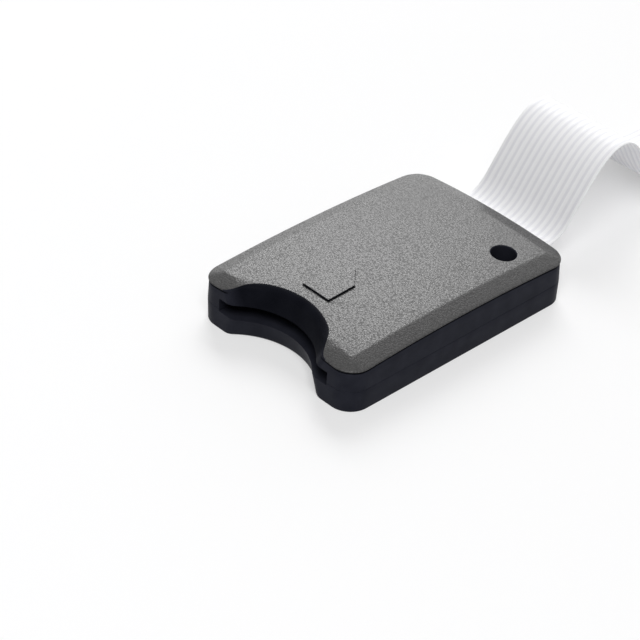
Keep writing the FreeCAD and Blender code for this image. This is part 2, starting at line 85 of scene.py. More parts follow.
def tubeFaces(rings, count):
    # faces round a stack of rings, and both ends
    faces = []
    for ring in range(rings - 1):
        bridgeRings(faces, ring * count, (ring + 1) * count, count)
    faces.append(tuple(range(count - 1, -1, -1)))
    faces.append(tuple(range((rings - 1) * count, rings * count)))
    return faces


def smoothOver(piece, angle=32):
    # smooth shading, with edges over that many degrees kept sharp
    piece.data.shade_smooth()
    piece.data.set_sharp_from_angle(angle=math.radians(angle))


def standAt(piece, place, aim):
    # at one place, turned to face another
    place, aim = Vector(place), Vector(aim)
    piece.location = place * mm
    piece.rotation_mode = "QUATERNION"
    piece.rotation_quaternion = (aim - place).to_track_quat("-Z", "Y")


# Camera, as the photo was taken: from the slot side, to the right and above
cameraSetup = {
    "eye": (211.78, -223.30, 222.01),
    "aim": (0.91, -16.11, 5.02),
    "roll": 2.724,       # degrees
    "lens": 124.32,
    "sensor": 36.0,
    "clip": 10.0,        # nothing nearer is seen
}


def makeCamera():
    data = bpy.data.cameras.new("camera")
    data.lens = cameraSetup["lens"]
    data.sensor_width = cameraSetup["sensor"]
    data.clip_start = cameraSetup["clip"] * mm
    camera = showObject("camera", data)
    standAt(camera, cameraSetup["eye"], cameraSetup["aim"])
    roll = Quaternion((0, 0, 1), math.radians(cameraSetup["roll"]))
    camera.rotation_quaternion = camera.rotation_quaternion @ roll
    bpy.context.scene.camera = camera


makeCamera()
bpy.context.scene.view_settings.view_transform = "Standard"
print("camera placed")


# Node helpers: every finish below is a small tree round one Principled shader
def newFinish(name, **values):
    material = bpy.data.materials.new(name)
    material.use_nodes = True
    tree = material.node_tree
    for socket, value in values.items():
        tree.nodes["Principled BSDF"].inputs[socket.replace("_", " ")].default_value = value
    return tree


def feed(tree, socket, value):
    if isinstance(value, bpy.types.NodeSocket):
        tree.links.new(value, socket)
    else:
        socket.default_value = value


def addNode(tree, kind, **inputs):
    node = tree.nodes.new("ShaderNode" + kind)
    for socket, value in inputs.items():
        feed(tree, node.inputs[socket.replace("_", " ")], value)
    return node


def mathOf(tree, operation, first, second):
    node = tree.nodes.new("ShaderNodeMath")
    node.operation = operation
    feed(tree, node.inputs[0], first)
    feed(tree, node.inputs[1], second)
    return node.outputs[0]


def mixShaders(tree, share, first, second):
    node = tree.nodes.new("ShaderNodeMixShader")
    for index, output in enumerate((share, first, second)):
        feed(tree, node.inputs[index], output)
    return node.outputs[0]


def noiseOf(tree, size, detail=2.0, stretch=(1, 1, 1)):
    coords = addNode(tree, "TexCoord").outputs["Object"]
    place = addNode(tree, "Mapping", Vector=coords, Scale=stretch).outputs["Vector"]
    return addNode(tree, "TexNoise", Vector=place, Scale=1 / (size * mm), Detail=detail).outputs["Fac"]


def dotsOf(tree, size):
    # round dots a size apart, 1 at their middles
    coords = addNode(tree, "TexCoord").outputs["Object"]
    dots = addNode(tree, "TexVoronoi", Vector=coords, Scale=1 / (size * mm))
    return spreadOf(tree, dots.outputs["Distance"], 1.0, 0.0)


def twoTone(tree, field, low, high, stops=(0.3, 0.7)):
    # one colour up to the first stop, the other past the second
    node = addNode(tree, "ValToRGB", Fac=field)
    for element, place, color in zip(node.color_ramp.elements, stops, (low, high)):
        element.position = place
        element.color = (*color, 1.0)
    return node.outputs["Color"]


def spreadOf(tree, value, low, high):
    return addNode(tree, "MapRange", Value=value, To_Min=low, To_Max=high).outputs["Result"]


def fadeAlongY(tree, color, other, start, end):
    # one colour up to a place along Y, the other past a second place
    coords = addNode(tree, "TexCoord").outputs["Object"]
    place = addNode(tree, "SeparateXYZ", Vector=coords).outputs["Y"]
    share = addNode(tree, "MapRange", Value=place, From_Min=start * mm, From_Max=end * mm)
    mix = tree.nodes.new("ShaderNodeMix")
    mix.data_type = "RGBA"
    for index, value in ((0, share.outputs["Result"]), (6, color), (7, other)):
        feed(tree, mix.inputs[index], value)     # the factor and the two colours
    return mix.outputs[2]


def setShader(tree, **inputs):
    for socket, value in inputs.items():
        feed(tree, tree.nodes["Principled BSDF"].inputs[socket.replace("_", " ")], value)


def addBump(tree, height, depth):
    bump = addNode(tree, "Bump", Height=height, Distance=depth * mm, Strength=1.0)
    setShader(tree, Normal=bump.outputs["Normal"])


def materialOf(tree):
    return next(material for material in bpy.data.materials if material.node_tree == tree)


# The housing's plastic: coarse spark texture on top, fine texture on the walls, and painted shade on the
# notch's walls
topTexture = {
    "grain": 0.31,
    "dark": (0.0080, 0.0078, 0.0078),
    "light": (0.046, 0.045, 0.045),
    "colorStops": (0.30, 0.75),
    "roughness": (0.47, 0.22),       # the grain's crests are the smoothest
    "roughnessStops": (0.30, 0.80),
    "depth": 0.03,
    "specular": 0.46,
}
wallTexture = {
    "grain": 0.12,
    "cloud": 3.0,                    # size of the faint patches of colour
    "dark": (0.0145, 0.0153, 0.0220),
    "light": (0.0205, 0.0217, 0.0300),
    "roughness": (0.40, 0.52),
    "depth": 0.004,
    "specular": 0.04,
    "tint": (0.82, 0.88, 1.0),
}
notchPaintedShade = {
    "dark": (0.0040, 0.0044, 0.0068),
    "light": (0.0060, 0.0065, 0.0095),
    "specular": 0.02,
    "paintedShadeFade": (-24.2, -26.0),     # where its painted shade fades into the wall's colour, along Y
}


def sparkTop():
    tree = newFinish("sparkTexturedTop", Specular_IOR_Level=topTexture["specular"])
    grain = dotsOf(tree, topTexture["grain"])
    color = twoTone(tree, grain, topTexture["dark"], topTexture["light"], topTexture["colorStops"])
    rough, smooth = ((value,) * 3 for value in topTexture["roughness"])
    roughness = twoTone(tree, grain, rough, smooth, topTexture["roughnessStops"])
    setShader(tree, Base_Color=color, Roughness=roughness)
    addBump(tree, grain, topTexture["depth"])
    return materialOf(tree)


def darkWall(name, setup):
    setup = {**wallTexture, **setup}
    tree = newFinish(name, Specular_IOR_Level=setup["specular"], Specular_Tint=(*setup["tint"], 1))
    grain, cloud = noiseOf(tree, setup["grain"]), noiseOf(tree, setup["cloud"])
    color = twoTone(tree, cloud, setup["dark"], setup["light"])
    # the notch's painted shade fades into the wall's colour along Y
    if "paintedShadeFade" in setup:
        wallColor = twoTone(tree, cloud, wallTexture["dark"], wallTexture["light"])
        color = fadeAlongY(tree, color, wallColor, *setup["paintedShadeFade"])
    setShader(tree, Base_Color=color, Roughness=spreadOf(tree, grain, *setup["roughness"]))
    addBump(tree, grain, setup["depth"])
    return materialOf(tree)


def dress(tree, field, low, high, roughness, spread, depth):
    # one field drives colour, roughness and bump
    sheen = spreadOf(tree, field, roughness - spread, roughness + spread)
    setShader(tree, Base_Color=twoTone(tree, field, low, high), Roughness=sheen)
    addBump(tree, field, depth)
    return materialOf(tree)


def plainPlastic(name, low, high, roughness, grain=0.2, depth=0.006, spread=0.06, **values):
    tree = newFinish(name, **values)
    return dress(tree, noiseOf(tree, grain), low, high, roughness, spread, depth)


boardTexture = {
    "tracks": 1.6,                   # rough width of a copper track, drawn out along Y
    "stretch": (1, 0.35, 1),
    "stops": (0.49, 0.51),
    "depth": 0.02,
    "grain": 0.3,
    "roughness": (0.3, 0.42),
}
metalTexture = {
    "grain": 0.25,
    "stretch": (1, 9, 1),
    "darkShare": 0.82,
    "roughnessSpread": 0.07,
    "depth": 0.002,
}


def laminate(name, board, track):
    # solder mask over copper tracks
    tree = newFinish(name, Coat_Weight=0.4, Coat_Roughness=0.2)
    field = noiseOf(tree, boardTexture["tracks"], detail=1.0, stretch=boardTexture["stretch"])
    color = twoTone(tree, field, board, track, boardTexture["stops"])
    roughness = spreadOf(tree, noiseOf(tree, boardTexture["grain"]), *boardTexture["roughness"])
    setShader(tree, Base_Color=color, Roughness=roughness)
    addBump(tree, field, boardTexture["depth"])
    return materialOf(tree)


def brushedMetal(name, color, roughness):
    setup = metalTexture
    tree = newFinish(name, Metallic=1.0)
    field = noiseOf(tree, setup["grain"], detail=3.0, stretch=setup["stretch"])
    darker = tuple(setup["darkShare"] * part for part in color)
    return dress(tree, field, darker, color, roughness, setup["roughnessSpread"], setup["depth"])


# the third finish is painted shade: a darker colour for the notch, the shadow line's groove and the
# arrow's edge
coverFinishes = [sparkTop(), darkWall("fineTexturedWall", {}), darkWall("smoothNotchWall", notchPaintedShade)]
topIndex, wallIndex, paintedShadeIndex = range(len(coverFinishes))
filmFinish = plainPlastic("whiteFilm", (0.90, 0.90, 0.915), (0.93, 0.93, 0.945), roughness=0.45,
                          Specular_IOR_Level=0.25)
stripeFinish = plainPlastic("conductorUnderFilm", (0.78, 0.78, 0.81), (0.82, 0.82, 0.85), roughness=0.4,
                            Specular_IOR_Level=0.25)
print("finishes made")


# White ribbon: a flat strip along one spline, with a low ridge over each conductor
ribbonShape = {
    "width": 20.5,
    "filmHalf": 0.11,    # half thickness between the conductors
    "ridgeHalf": 0.15,   # half thickness over a conductor
    "edgeRound": 0.05,
    "conductors": 15,
    "pitch": 1.35,
    "conductorWidth": 0.7,
    "flank": 0.12,
    "length": 144.0,
    "exit": (0.0, 26.1, 4.4),
    "stepsPerPoint": 12,
    "sharpFrom": 60,     # degrees
    "route": [           # (y, z) of the middle line, from the board to the plug
        (12.5, 3.45), (17.5, 3.45), (22.8, 4.38), (28.4, 4.42), (33.4, 5.1), (37.6, 10.6),
        (42.2, 16.3), (46.2, 18.6), (50.1, 18.3), (53.6, 14.7), (56.4, 9.6), (60.2, 4.6),
        (66.0, 1.4), (75.5, 0.2), (92.5, 0.2), (113.0, 2.2), (131.0, 1.0), (143.0, 1.0),
    ],
}


def splinePath(route, steps):
    # the points of a smooth line through the route, in metres
    curve = bpy.data.curves.new("ribbonLine", "CURVE")
    curve.dimensions = "3D"
    curve.resolution_u = steps
    spline = curve.splines.new("NURBS")
    spline.points.add(len(route) - 1)
    for point, (y, z) in zip(spline.points, route):
        point.co = (0, y * mm, z * mm, 1)
    spline.order_u = 3
    spline.use_endpoint_u = True
    line = showObject("ribbonLine", curve)
    depsgraph = bpy.context.evaluated_depsgraph_get()
    mesh = bpy.data.meshes.new_from_object(line.evaluated_get(depsgraph))
    path = [vertex.co.copy() for vertex in mesh.vertices]
    bpy.data.objects.remove(line)
    bpy.data.meshes.remove(mesh)
    return path


def ribbonSection():
    # one face of the ribbon from edge to edge: (x, half thickness, over a conductor)
    shape = ribbonShape
    half, film, ridge = shape["width"] / 2, shape["filmHalf"], shape["ridgeHalf"]
    foot = (shape["conductorWidth"] + shape["flank"]) / 2
    crest = foot - shape["flank"]
    section = [(-half, film - shape["edgeRound"], False), (shape["edgeRound"] - half, film, False)]
    for index in range(shape["conductors"]):
        middle = (index - (shape["conductors"] - 1) / 2) * shape["pitch"]
        section += [(middle - foot, film, False), (middle - crest, ridge, True)]
        section += [(middle + crest, ridge, True), (middle + foot, film, False)]
    section += [(half - shape["edgeRound"], film, False), (half, film - shape["edgeRound"], False)]
    return section


def makeRibbon(path):
    upper = ribbonSection()
    ring = upper + [(x, -z, over) for x, z, over in upper[::-1]]
    count = len(ring)
    points = []
    for index, place in enumerate(path):
        along = path[min(index + 1, len(path) - 1)] - path[max(index - 1, 0)]
        along.normalize()
        for x, z, over in ring:
            points.append((x, place.y / mm - along.z * z, place.z / mm + along.y * z))
    faces = tubeFaces(len(path), count)
    onConductor = [1 if ring[side][2] and ring[(side + 1) % count][2] else 0 for side in range(count)]
    stripes = onConductor * (len(path) - 1) + [0, 0]     # the ends are plain
    ribbon = meshObject("whiteRibbon", points, faces, [filmFinish, stripeFinish], stripes)
    smoothOver(ribbon, ribbonShape["sharpFrom"])
    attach(ribbon, "root")
    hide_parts("ribbon_cable")
    return ribbon


ribbonPath = splinePath(ribbonShape["route"], ribbonShape["stepsPerPoint"])
whiteRibbon = makeRibbon(ribbonPath)
print("ribbon made:", len(whiteRibbon.data.polygons), "faces")


# Forms for the moulded pieces
insideOnly = 1           # delaunay_2d_cdt's value for triangles inside the outline
pointTolerance = 1e-5
reach = 1.0              # how far a cutter reaches past what it cuts


def fillRing(points, faces, start, count, height, facesUp, loops=(), spots=()):
    # triangles inside a ring that is already in points, with creases along the loops
    flat = [Vector(point[:2]) for point in points[start:start + count]]
    edges = [(index, (index + 1) % count) for index in range(count)]
    for loop in loops:
        first = len(flat)
        flat += [Vector(spot) for spot in loop]
        edges += [(first + index, first + (index + 1) % len(loop)) for index in range(len(loop))]
    flat += [Vector(spot) for spot in spots]
    kept, _, triangles, sources, _, _ = delaunay_2d_cdt(flat, edges, [], insideOnly, pointTolerance)
    places = []
    for spot, source in zip(kept, sources):
        if source and source[0] < count:
            places.append(start + source[0])
        else:
            places.append(len(points))
            points.append((spot.x, spot.y, height(spot.x, spot.y)))
    for triangle in triangles:
        corners = tuple(places[index] for index in triangle)
        faces.append(corners if facesUp else corners[::-1])


def splitLoop(corners, step):
    spots = []
    for corner, after in zip(corners, corners[1:] + corners[:1]):
        corner, after = Vector(corner), Vector(after)
        pieces = max(1, round((after - corner).length / step))
        spots += [tuple(corner.lerp(after, piece / pieces)) for piece in range(pieces)]
    return spots


def slab(name, loop, low, high, step=1.5):
    # upright block over a counter-clockwise loop; high may be a height function, and then its
    # top has points a step apart
    followsTop = callable(high)
    height = high if followsTop else (lambda x, y: high)
    if followsTop:
        loop = splitLoop(loop, step)
    count = len(loop)
    points = [(x, y, low) for x, y in loop] + [(x, y, height(x, y)) for x, y in loop]
    faces, spots = [], []
    bridgeRings(faces, 0, count, count)
    if followsTop:
        left, right = min(x for x, y in loop), max(x for x, y in loop)
        front, rear = min(y for x, y in loop), max(y for x, y in loop)
        for row in range(1, math.ceil((rear - front) / step)):
            for place in range(1, math.ceil((right - left) / step)):
                spots.append((left + place * step, front + row * step))
    fillRing(points, faces, 0, count, lambda x, y: low, False)
    fillRing(points, faces, count, count, height, True, spots=spots)
    return meshObject(name, points, faces, coverFinishes, [wallIndex] * len(faces))


def circleLoop(x, y, radius, count=32):
    turns = [2 * math.pi * index / count for index in range(count)]
    return [(x + radius * math.cos(turn), y + radius * math.sin(turn)) for turn in turns]


def rectLoop(left, right, front, rear, frontRound=0.0, rearRound=0.0, arc=8):
    loop = []
    corners = [(left, front, frontRound, 180), (right, front, frontRound, 270),
               (right, rear, rearRound, 0), (left, rear, rearRound, 90)]
    for x, y, radius, start in corners:
        if radius == 0:
            loop.append((x, y))
            continue
        middleX = x + (radius if x == left else -radius)
        middleY = y + (radius if y == front else -radius)
        for step in range(arc + 1):
            turn = math.radians(start + 90 * step / arc)
            loop.append((middleX + radius * math.cos(turn), middleY + radius * math.sin(turn)))
    return loop


def combine(piece, operation, tools):
    group = bpy.data.collections.new("tools")
    for tool in tools:
        group.objects.link(tool)
    modifier = piece.modifiers.new("combine", "BOOLEAN")
    modifier.operation = operation
    modifier.operand_type = "COLLECTION"
    modifier.collection = group
    modifier.solver = "EXACT"
    depsgraph = bpy.context.evaluated_depsgraph_get()
    old, piece.data = piece.data, bpy.data.meshes.new_from_object(piece.evaluated_get(depsgraph))
    piece.modifiers.clear()
    bpy.data.meshes.remove(old)
    for tool in tools:
        bpy.data.meshes.remove(tool.data)
    bpy.data.collections.remove(group)


def dropSlivers(piece, limit=0.003):
    # faces and edges too small to see, left where cuts cross the mesh
    mesh = bmesh.new()
    mesh.from_mesh(piece.data)
    bmesh.ops.dissolve_degenerate(mesh, dist=limit * mm, edges=mesh.edges)
    mesh.to_mesh(piece.data)
    mesh.free()


# Housing: outline, crowned top and walls; overall sizes come from the frame
housing = {
    "halfWidth": boxOf("bottom_cover")[1].x,
    "halfLength": boxOf("bottom_cover")[1].y,
    "cornerRadius": 4.1,
    "joint": 4.1,        # height of the line between the covers
    "top": 10.6,
    "fallAcross": 1.0,   # how far the crown falls to the sides and to the ends
    "fallAlong": 0.93,
    "wall": 1.7,
    "floor": 1.5,
    "roof": 1.5,
    "baseDraft": 0.08,
    "baseRound": 0.15,
    "topDraft": 0.33,
    "jointRound": 0.12,
    "jointBreak": 0.05,  # the top cover's edge at the joint is broken by this much
    "baseRings": (1.4, 2.6),
    "pocketFront": -18.4,
}
lid = {
    "inset": 0.05,
    "edgeRound": 0.12,
    "slopeWidth": 3.0,
    "slopeFall": 0.81,
    "creaseSoftness": 0.02,
    "mitreSharpness": 8,
    "shadowDepth": 0.45,
    "shadowHeight": 0.4,
    "wallStart": 0.15,   # plain wall starts this far under the shadow line
    "overhang": 0.16,    # how far the lid's edge stands out over the wall
}
notch = {
    "middleY": -34.8,
    "radius": 12.95,     # at the joint, where the notch is narrowest
    "openBelow": 0.95,   # how much wider it is at the base and at the top
    "openAbove": 2.2,
    "edgeRound": 1.5,
    "roundHolds": 0.6,   # share of the notch over which its edge round stays full
    "nickRound": 0.4,    # edge round where the notch meets the front
    "nickRadius": 2.6,
    "baseRound": 0.35,
    "jointBreak": 0.03,
    "jointRoundShare": 0.3,
    "wallStart": 0.5,    # plain wall starts this far under the rounded edge
}
slot = {"half": 13.2, "low": 3.63, "high": 6.17}     # for the card
mouth = {"half": 10.65, "high": 4.7}                 # for the ribbon
arrow = {
    "width": 6.3,
    "front": -16.6,
    "side": 6.0,
    "relief": 0.36,
    "edge": 0.1,         # width of the strip in which it rises
    "risesFrom": 0.05,   # share of the strip that stays down
    "wallShare": 0.6,    # share of the relief that rises at once
    "darkShare": 0.7,    # share of the strip with painted shade
}

# How finely the covers are divided
edgeSteps = 6            # rings over a rounded edge
wallRings = (0.0, 0.3, 0.6, 1.0)
topGrid = {
    "step": 0.6,
    "clearShare": 0.55,  # of a step, kept free beside edges and rows
    "creaseRows": (-0.3, -0.1, 0.1, 0.3),
    "arrowStep": 0.45,
    "arrowClear": 0.25,
}


def arcRadius(halfChord, fall):
    return (halfChord ** 2 + fall ** 2) / (2 * fall)


crownRadiusX = arcRadius(housing["halfWidth"], housing["fallAcross"])
crownRadiusY = arcRadius(housing["halfLength"], housing["fallAlong"])


def crown(x, y, lower=0.0):
    fallX = crownRadiusX - math.sqrt(crownRadiusX ** 2 - x ** 2)
    fallY = crownRadiusY - math.sqrt(crownRadiusY ** 2 - y ** 2)
    return housing["top"] - lower - fallX - fallY


def edgeDistance(x, y):
    # how far a point lies inside the lid's outer edge; round at the edge, mitred further in
    corner = housing["cornerRadius"] - lid["inset"]
    overX = abs(x) - (housing["halfWidth"] - housing["cornerRadius"])
    overY = abs(y) - (housing["halfLength"] - housing["cornerRadius"])
    if min(overX, overY) <= 0:
        return corner - max(overX, overY)
    power = lid["mitreSharpness"]
    square = (overX ** power + overY ** power) ** (1 / power)
    circle = math.hypot(overX, overY)
    crease = corner - lid["slopeWidth"]
    return corner - lerp(square, circle, smoothStep((square - crease) / lid["slopeWidth"]))


def slopedTop(x, y):
    rise = 1 - edgeDistance(x, y) / lid["slopeWidth"]
    return crown(x, y) - lid["slopeFall"] * (rise + math.hypot(rise, lid["creaseSoftness"])) / 2


def wallInset(z):
    rise = z - housing["joint"]
    if rise < 0:
        return -housing["baseDraft"] * rise / housing["joint"]
    return housing["topDraft"] * rise / (housing["top"] - housing["joint"])


def notchRadius(z):
    rise = z - housing["joint"]
    if rise < 0:
        return notch["radius"] - notch["openBelow"] * rise / housing["joint"]
    return notch["radius"] + notch["openAbove"] * rise / (housing["top"] - housing["joint"])


# Columns of the outline, as (stretch, share along it, side): notch, front, side, rear and back
columnCounts = {"notch": 36, "nick": 9, "front": 4, "frontCorner": 16, "side": 60, "rearCorner": 16,
                "rear": 24}
halfColumns = [(part, step / count, 1) for part, count in columnCounts.items() for step in range(count)]
halfColumns.append(("rear", 1.0, 1))
columns = halfColumns + [(part, share, -1) for part, share, side in halfColumns[-2:0:-1]]


def outerShare(column):
    # 0 on the notch wall, 1 on the outer walls
    part, share, side = column
    return {"notch": 0.0, "nick": smoothStep(share)}.get(part, 1.0)


def edgeRound(column):
    part, share, side = column
    if part == "notch":
        fading = (share - notch["roundHolds"]) / (1 - notch["roundHolds"])
        return lerp(notch["edgeRound"], notch["nickRound"], smoothStep(fading))
    if part == "nick":
        return lerp(notch["nickRound"], lid["edgeRound"], smoothStep(share))
    return lid["edgeRound"]


def wallLean(column):
    # how far the wall under the rounded edge leans back from upright
    lean = math.atan(notch["openAbove"] / (housing["top"] - housing["joint"]))
    return lean * (1 - outerShare(column))


def columnSpot(column, inset, radius, back=0.0):
    # where a column stands for a wall inset and a notch radius, and how far back from that wall
    part, share, side = column
    halfX = housing["halfWidth"] - inset - back
    halfY = housing["halfLength"] - inset - back
    corner = housing["cornerRadius"] - inset - back
    nickY = notch["nickRadius"] + inset - housing["halfLength"]
    nickX = math.sqrt((radius + notch["nickRadius"]) ** 2 - (nickY - notch["middleY"]) ** 2)
    meet = math.atan2(nickY - notch["middleY"], nickX)
    if part == "notch":
        turn = lerp(math.pi / 2, meet, share)
        x, y = (radius + back) * math.cos(turn), notch["middleY"] + (radius + back) * math.sin(turn)
    elif part == "nick":
        turn = lerp(meet + math.pi, 1.5 * math.pi, share)
        bend = notch["nickRadius"] - back
        x, y = nickX + bend * math.cos(turn), nickY + bend * math.sin(turn)
    elif part == "front":
        x, y = lerp(nickX, halfX - corner, share), -halfY
    elif part == "side":
        x, y = halfX, lerp(corner - halfY, halfY - corner, share)
    elif part == "rear":
        x, y = (halfX - corner) * (1 - share), halfY
    else:
        way = -1 if part == "frontCorner" else 1
        turn = math.pi / 2 * (share - (1 if way < 0 else 0))
        x, y = halfX - corner + corner * math.cos(turn), way * (halfY - corner) + corner * math.sin(turn)
    return side * x, y


def lidBorder(column):
    # the lid's upright edge at this column: wall inset, height and edge round
    bend = edgeRound(column)
    inset = lid["inset"] + lid["overhang"] * (1 - outerShare(column))
    drop = bend * (1 - math.sin(wallLean(column)))
    z = housing["top"]
    for _ in range(8):     # height and notch radius depend on each other, and settle
        z = slopedTop(*columnSpot(column, inset, notchRadius(z))) - drop
    return inset, z, bend


def arrowLoop(inset):
    # the arrow's outline moved inward: square in front, its shoulders turn 45 degrees to the tip
    half = arrow["width"] / 2
    front = arrow["front"] + inset
    shoulder = arrow["front"] + arrow["side"] - inset * math.tan(math.radians(22.5))
    tip = arrow["front"] + arrow["side"] + half - inset * math.sqrt(2)
    half -= inset
    return [(-half, front), (half, front), (half, shoulder), (0, tip), (-half, shoulder)]


def arrowDepth(x, y):
    # how far inside the arrow's outline, negative outside it
    slant = (arrow["front"] + arrow["side"] + arrow["width"] / 2 - y - abs(x)) / math.sqrt(2)
    return min(arrow["width"] / 2 - abs(x), y - arrow["front"], slant)


def topHeight(x, y):
    share = arrowDepth(x, y) / arrow["edge"]
    if share < arrow["risesFrom"]:
        return slopedTop(x, y)
    risen = lerp(arrow["wallShare"], 1, math.sin(min(share, 1) * math.pi / 2))
    return slopedTop(x, y) + arrow["relief"] * risen


def topSpots():
    # a grid over the top, and rows along the crease between top and slope
    spots, step = [], topGrid["step"]
    rowGap = step * math.sqrt(3) / 2
    rows = math.ceil(housing["halfLength"] / rowGap)
    places = math.ceil(housing["halfWidth"] / step)
    for row in range(-rows, rows + 1):
        for place in range(-places, places + 1):
            spots.append(((place + 0.5 * (row % 2)) * step, row * rowGap))
    clear = topGrid["clearShare"] * step
    creaseClear = topGrid["creaseRows"][-1] + clear
    spots = [(x, y) for x, y in spots if abs(edgeDistance(x, y) - lid["slopeWidth"]) > creaseClear
             and abs(arrowDepth(x, y)) > topGrid["arrowClear"]]
    for fromCrease in topGrid["creaseRows"]:
        inset = lid["inset"] + lid["slopeWidth"] + fromCrease
        for column in columns:
            if column[0] not in ("notch", "nick", "front"):
                spots.append(columnSpot(column, inset, notchRadius(housing["top"])))
        frontHalf = housing["halfWidth"] - housing["cornerRadius"]
        across = math.ceil(2 * frontHalf / step)
        spots += [(lerp(-frontHalf, frontHalf, place / across), inset - housing["halfLength"])
                  for place in range(1, across)]
    kept = []
    for x, y in spots:
        fromNotch = math.hypot(x, y - notch["middleY"]) - notchRadius(housing["top"])
        if edgeDistance(x, y) > lid["edgeRound"] + clear and fromNotch > notch["edgeRound"] + clear:
            kept.append((x, y))
    return kept


# The shadow line's rings, as (in, down, down in the notch, whether in is counted from the wall)
shadowDeep, shadowTop = lid["shadowDepth"] - lid["inset"], 0.05
shadowLow = shadowTop + lid["shadowHeight"]
shadowRings = [
    (0.015, 0.035, 0.04, False),
    (0.05, shadowTop, 0.08, False),
    (shadowDeep, shadowTop, 0.16, False),
    (shadowDeep, shadowLow, 0.28, False),
    (0.10, shadowLow, 0.36, True),
    (0.03, shadowLow + 0.03, 0.43, True),
]


def topShellBody():
    # each spotOf says where a ring runs for a column and its lidBorder
    points, faces, finishes, starts = [], [], [], []
    borders = [lidBorder(column) for column in columns]

    def addRing(spotOf):
        starts.append(len(points))
        points.extend(spotOf(column, *border) for column, border in zip(columns, borders))

    def roundedEdge(share):
        def spotOf(column, inset, z, bend):
            lean = wallLean(column)
            turn = lerp(lean, math.pi / 2, share)
            x, y = columnSpot(column, inset, notchRadius(z), bend * (math.cos(lean) - math.cos(turn)))
            return x, y, slopedTop(x, y) - bend * (1 - math.sin(turn))
        return spotOf

    def shadowLine(deep, down, notchDown, fromWall):
        def spotOf(column, inset, z, bend):
            share = outerShare(column)
            level = z - lerp(notchDown, down, share)
            outer = deep + (wallInset(level) if fromWall else lid["inset"])
            x, y = columnSpot(column, lerp(inset, outer, share), notchRadius(level))
            return x, y, level
        return spotOf

    def plainWall(part):
        def spotOf(column, inset, z, bend):
            share = outerShare(column)
            upper = z - lerp(notch["wallStart"], lid["shadowHeight"] + lid["wallStart"], share)
            level = lerp(upper, housing["joint"] + housing["jointBreak"], part)
            wanted = lerp(lerp(inset, wallInset(level), part), wallInset(level), share)
            x, y = columnSpot(column, wanted, notchRadius(level))
            return x, y, level
        return spotOf

    def jointEdge(column, inset, z, bend):
        radius = notchRadius(housing["joint"]) + notch["jointBreak"]
        return *columnSpot(column, housing["jointBreak"], radius), housing["joint"]

    for step in range(edgeSteps, -1, -1):
        addRing(roundedEdge(step / edgeSteps))
    for ring in shadowRings:
        addRing(shadowLine(*ring))
    for part in wallRings:
        addRing(plainWall(part))
    addRing(jointEdge)
    for index, (upper, lower) in enumerate(zip(starts, starts[1:])):
        bridgeRings(faces, lower, upper, len(columns))
        # the notch's walls and rounded edge, and the shadow line's groove, take painted shade
        inShadow = edgeSteps <= index < edgeSteps + len(shadowRings) - 1
        outside = topIndex if index < edgeSteps else wallIndex
        for column in columns:
            inNotch = outerShare(column) < 1
            finishes.append(paintedShadeIndex if inNotch or inShadow else outside)
    insets = (0.0, arrow["edge"] / 3, arrow["edge"])
    loops = [splitLoop(arrowLoop(inset), topGrid["arrowStep"]) for inset in insets]
    fillRing(points, faces, starts[0], len(columns), topHeight, True, loops, topSpots())
    for face in faces[len(finishes):]:
        middle = sum((Vector(points[corner][:2]) for corner in face), Vector((0, 0))) / 3
        # a strip round the arrow's raised edge takes painted shade
        inArrowPaintedShade = 0 < arrowDepth(*middle) < arrow["darkShare"] * arrow["edge"]
        finishes.append(paintedShadeIndex if inArrowPaintedShade else topIndex)
    fillRing(points, faces, starts[-1], len(columns), lambda x, y: housing["joint"], False)
    finishes += [wallIndex] * (len(faces) - len(finishes))
    return meshObject("topShell", points, faces, coverFinishes, finishes)


def bottomShellBody():
    points, faces, starts = [], [], []

    def addRing(heightOf, backOf):
        starts.append(len(points))
        for column in columns:
            share = outerShare(column)
            z, back = heightOf(share), backOf(share)
            inset, radius = wallInset(z) + back * share, notchRadius(z) + back * (1 - share)
            points.append((*columnSpot(column, inset, radius), z))

    def baseBend(share):
        return lerp(notch["baseRound"], housing["baseRound"], share)

    def jointBend(share):
        return housing["jointRound"] * lerp(notch["jointRoundShare"], 1, share)

    for step in range(edgeSteps + 1):
        turn = math.pi / 2 * step / edgeSteps
        addRing(lambda share: baseBend(share) * (1 - math.cos(turn)),
                lambda share: baseBend(share) * (1 - math.sin(turn)))
    for height in housing["baseRings"]:
        addRing(lambda share: height, lambda share: 0)
    for degrees in (0, 30, 60, 90):
        turn = math.radians(degrees)
        addRing(lambda share: housing["joint"] - jointBend(share) * (1 - math.sin(turn)),
                lambda share: jointBend(share) * (1 - math.cos(turn)))
    for lower, upper in zip(starts, starts[1:]):
        bridgeRings(faces, lower, upper, len(columns))
    fillRing(points, faces, starts[0], len(columns), lambda x, y: 0.0, False)
    fillRing(points, faces, starts[-1], len(columns), lambda x, y: housing["joint"], True)
    return meshObject("bottomShell", points, faces, coverFinishes, [wallIndex] * len(faces))


